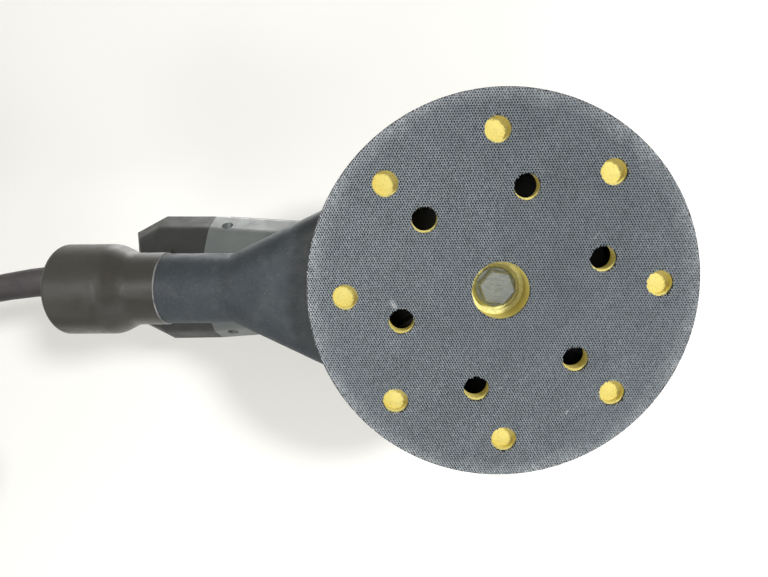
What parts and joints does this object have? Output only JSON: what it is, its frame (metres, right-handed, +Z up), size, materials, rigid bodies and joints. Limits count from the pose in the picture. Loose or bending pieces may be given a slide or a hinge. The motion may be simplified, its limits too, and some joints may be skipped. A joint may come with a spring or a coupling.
{
  "type": "orbital sander",
  "caption": "Electric random-orbit sander with a round hook-faced pad, flared dust duct, swivelling hose adapter, rear handle and mains cord.",
  "frame": {"origin": "on the motor axis, at the pad's working face, so that the pad stands on z = 0", "axes": "+Z up along the motor axis, handle, duct and cord towards -X, +Y to the left of the handle"},
  "size_m": [0.4436, 0.2497, 0.158],
  "materials": {
    "shell_grey": "fine moulded texture",
    "cap_black": "fine moulded texture",
    "grip_rubber": "soft matt overmould",
    "duct_plastic": "moulded, lightly speckled with dust",
    "adapter_black": "satin",
    "seal_rubber": "matt",
    "cast_alloy": "die cast",
    "screw_zinc": "zinc plated",
    "core_steel": "laminated",
    "bearing_steel": "ground",
    "copper_wire": "enamelled copper",
    "brass": "plain",
    "carbon": "carbon",
    "board_green": "circuit board",
    "fan_plastic": "moulded",
    "cord_rubber": "satin rubber",
    "plug_rubber": "moulded",
    "pin_nickel": "nickel plated",
    "tie_fabric": "hook and loop strap",
    "plate_yellow": "moulded",
    "foam_yellow": "cellular cushion",
    "hook_mesh": "hook mesh on a dark ground"
  },
  "bodies": {
    "body": {"housing_left": "shell_grey", "housing_right": "shell_grey", "rear_cap": "cap_black", "top_grip": "grip_rubber", "handle_grip": "grip_rubber", "dust_shroud": "duct_plastic", "skirt_seal": "seal_rubber", "bearing_plate": "cast_alloy", "housing_screws": "screw_zinc", "shroud_screws": "screw_zinc", "stator_core": "core_steel", "field_coils": "copper_wire", "lower_bearing_outer": "bearing_steel", "upper_bearing_outer": "bearing_steel", "brush_holders": "brass", "carbon_brushes": "carbon", "brush_springs": "bearing_steel", "brush_caps": "cap_black", "switch_module": "cap_black", "speed_board": "board_green", "cord_clamp": "cap_black", "clamp_screws": "screw_zinc", "cord_tail": "cord_rubber", "cord_guard": "cord_rubber", "cord": "cord_rubber", "cord_coil": "cord_rubber", "cord_tie": "tie_fabric", "plug_body": "plug_rubber", "plug_pins": "pin_nickel"},
    "spindle": {"motor_shaft": "bearing_steel", "armature_core": "core_steel", "armature_winding": "copper_wire", "commutator": "brass", "cooling_fan": "fan_plastic", "eccentric_hub": "cast_alloy", "dust_fan": "fan_plastic", "lower_bearing_inner": "bearing_steel", "lower_bearing_balls": "bearing_steel", "upper_bearing_inner": "bearing_steel", "upper_bearing_balls": "bearing_steel", "pad_bearing_outer": "bearing_steel", "pad_bearing_balls": "bearing_steel", "cup_clip": "core_steel"},
    "pad": {"pad_bearing_inner": "bearing_steel", "pad_stub": "bearing_steel", "stub_clip": "core_steel", "pad_plate": "plate_yellow", "pad_foam": "foam_yellow", "pad_hooks": "hook_mesh", "pad_bolt": "screw_zinc"},
    "slider": {"switch_slider": "cap_black"},
    "dial": {"speed_dial": "cap_black"},
    "adapter": {"hose_adapter": "adapter_black"}
  },
  "joints": [
    {"name": "spindle_spin", "type": "hinge", "parent": "body", "child": "spindle", "pos_m": [0, 0, 0.05], "axis": [0, 0, 1], "continuous": true},
    {"name": "pad_spin", "type": "hinge", "parent": "spindle", "child": "pad", "pos_m": [0, -0.0025, 0.03], "axis": [0, 0, 1], "continuous": true},
    {"name": "switch_slide", "type": "slide", "parent": "body", "child": "slider", "axis": [1, 0, 0], "range_m": [0, 0.006]},
    {"name": "dial_turn", "type": "hinge", "parent": "body", "child": "dial", "pos_m": [-0.156, 0, 0.094], "axis": [0, 1, 0], "range_deg": [0, 270]},
    {"name": "adapter_swivel", "type": "hinge", "parent": "body", "child": "adapter", "pos_m": [-0.1434, 0, 0.0334], "axis": [1, 0, 0], "continuous": true}
  ]
}
